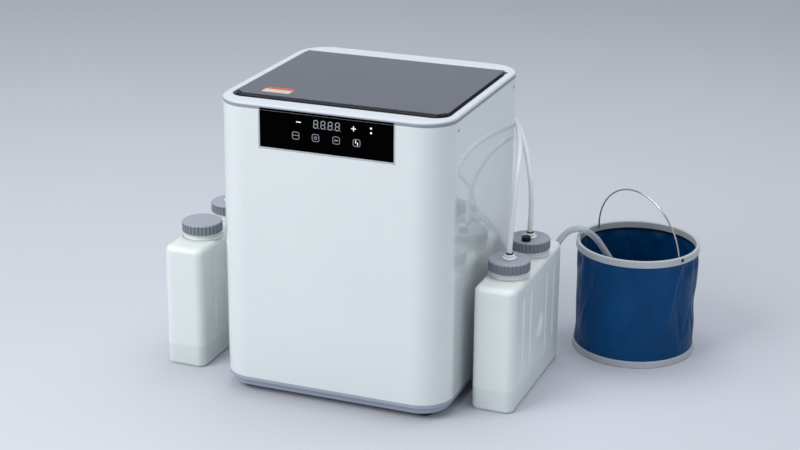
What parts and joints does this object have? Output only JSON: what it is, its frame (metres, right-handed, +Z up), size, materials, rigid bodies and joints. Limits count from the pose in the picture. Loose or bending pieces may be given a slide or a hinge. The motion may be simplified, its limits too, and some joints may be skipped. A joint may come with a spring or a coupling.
{
  "type": "resin wash station",
  "caption": "Resin wash station with a lidded steel wash chamber and touch display, solvent tanks joined to it by hoses, and a folding drain bucket with a wire bail.",
  "frame": {"origin": "centre of the footprint of the machine, its tanks and its bucket, on the surface they stand on", "axes": "+Z up, -Y the machine's front with the display, +X the machine's right"},
  "size_m": [0.8616, 0.5674, 0.5213],
  "materials": {
    "body_white": "gloss",
    "frame_grey": "satin",
    "plinth_grey": "satin",
    "black_glass": "gloss",
    "lid_sheet": "gloss",
    "black_plastic": "satin",
    "rear_steel": "satin",
    "stainless": "brushed",
    "hanger_alloy": "satin",
    "zinc_screws": "satin",
    "motor_metal": "satin",
    "pump_plastic": "satin",
    "brass": "satin",
    "board_green": "satin",
    "rubber_black": "matte",
    "tank_plastic": "satin",
    "cap_grey": "satin",
    "fitting_white": "satin",
    "hose_clear": "satin",
    "ring_grey": "satin",
    "bucket_fabric": "coated"
  },
  "bodies": {
    "station": {"outer_shell": "body_white", "base_plinth": "plinth_grey", "feet": "rubber_black", "top_frame": "frame_grey", "display_bezel": "frame_grey", "display_glass": "black_glass", "display_board": "board_green", "rear_panel": "rear_steel", "fan_frame": "black_plastic", "power_inlet": "black_plastic", "switch_frame": "black_plastic", "wash_tub": "stainless", "tub_gasket": "rubber_black", "hanger_rails": "stainless", "impeller_axle": "stainless", "drive_motor": "motor_metal", "drain_pump": "pump_plastic", "fill_pump": "pump_plastic", "pump_bracket": "stainless", "valve_block": "brass", "drain_pipe": "fitting_white", "fill_pipe": "fitting_white", "power_supply": "motor_metal", "main_board": "board_green", "shell_screws": "zinc_screws", "panel_screws": "zinc_screws", "supply_ports": "fitting_white", "drain_port": "fitting_white", "left_tank": "tank_plastic", "right_tank": "tank_plastic", "left_rear_cap": "cap_grey", "right_front_cap": "cap_grey", "right_rear_cap": "cap_grey", "left_rear_fitting": "fitting_white", "right_front_fitting": "fitting_white", "right_rear_fitting": "fitting_white", "dip_tubes": "fitting_white", "left_rear_hose": "hose_clear", "right_front_hose": "hose_clear", "right_rear_hose": "hose_clear", "drain_hose": "hose_clear", "bucket_bottom_ring": "ring_grey", "bucket_base": "bucket_fabric", "bucket_wall": "bucket_fabric"},
    "lid": {"lid_panel": "lid_sheet", "lid_frame": "black_plastic", "hinge_pins": "zinc_screws"},
    "fan": {"fan_rotor": "black_plastic"},
    "rocker": {"switch_rocker": "black_plastic"},
    "hanger": {"plate_hanger": "hanger_alloy"},
    "drive": {"drive_rotor": "motor_metal"},
    "wash_impeller": {"impeller": "pump_plastic"},
    "cap_liner": {"left_front_liner": "fitting_white"},
    "cap": {"left_front_cap": "cap_grey"},
    "vent": {"vent_plug": "black_plastic"},
    "bucket_ring": {"bucket_top_ring": "ring_grey", "bail_screws": "zinc_screws"},
    "bucket_bail": {"bail": "stainless"}
  },
  "joints": [
    {"name": "lid_hinge", "type": "hinge", "parent": "station", "child": "lid", "pos_m": [-0.09175, 0.06025, 0.514], "axis": [-1, 0, 0], "range_deg": [0, 95]},
    {"name": "fan_spin", "type": "hinge", "parent": "station", "child": "fan", "pos_m": [-0.16175, 0.10025, 0.14], "axis": [0, 1, 0], "continuous": true},
    {"name": "power_switch", "type": "hinge", "parent": "station", "child": "rocker", "pos_m": [-0.07175, 0.11225, 0.15], "axis": [1, 0, 0], "range_deg": [0, 18]},
    {"name": "hanger_slide", "type": "slide", "parent": "station", "child": "hanger", "axis": [0, 0, 1], "range_m": [-0.13, 0]},
    {"name": "drive_spin", "type": "hinge", "parent": "station", "child": "drive", "pos_m": [-0.09175, -0.09175, 0.15], "axis": [0, 0, 1], "continuous": true},
    {"name": "impeller_spin", "type": "hinge", "parent": "station", "child": "wash_impeller", "pos_m": [-0.09175, -0.09175, 0.21], "axis": [0, 0, 1], "continuous": true},
    {"name": "cap_lift", "type": "slide", "parent": "station", "child": "cap_liner", "axis": [0, 0, 1], "range_m": [0, 0.0121]},
    {"name": "cap_turn", "type": "hinge", "parent": "cap_liner", "child": "cap", "pos_m": [-0.39375, -0.14215, 0.24], "axis": [0, 0, 1], "range_deg": [0, 540]},
    {"name": "vent_pull", "type": "slide", "parent": "station", "child": "vent", "axis": [0, 0, 1], "range_m": [0, 0.008]},
    {"name": "bucket_collapse", "type": "slide", "parent": "station", "child": "bucket_ring", "axis": [0, 0, 1], "range_m": [-0.13, 0], "deforming": ["bucket_wall"]},
    {"name": "bail_swing", "type": "hinge", "parent": "bucket_ring", "child": "bucket_bail", "pos_m": [0.32025, 0.17325, 0.198], "axis": [0.8572, -0.515, 0], "range_deg": [-96, 44]}
  ],
  "couplings": [
    {"joint": "impeller_spin", "follows": "drive_spin", "ratio": 1},
    {"joint": "cap_lift", "follows": "cap_turn", "m_per_rad": 0.0012732}
  ]
}
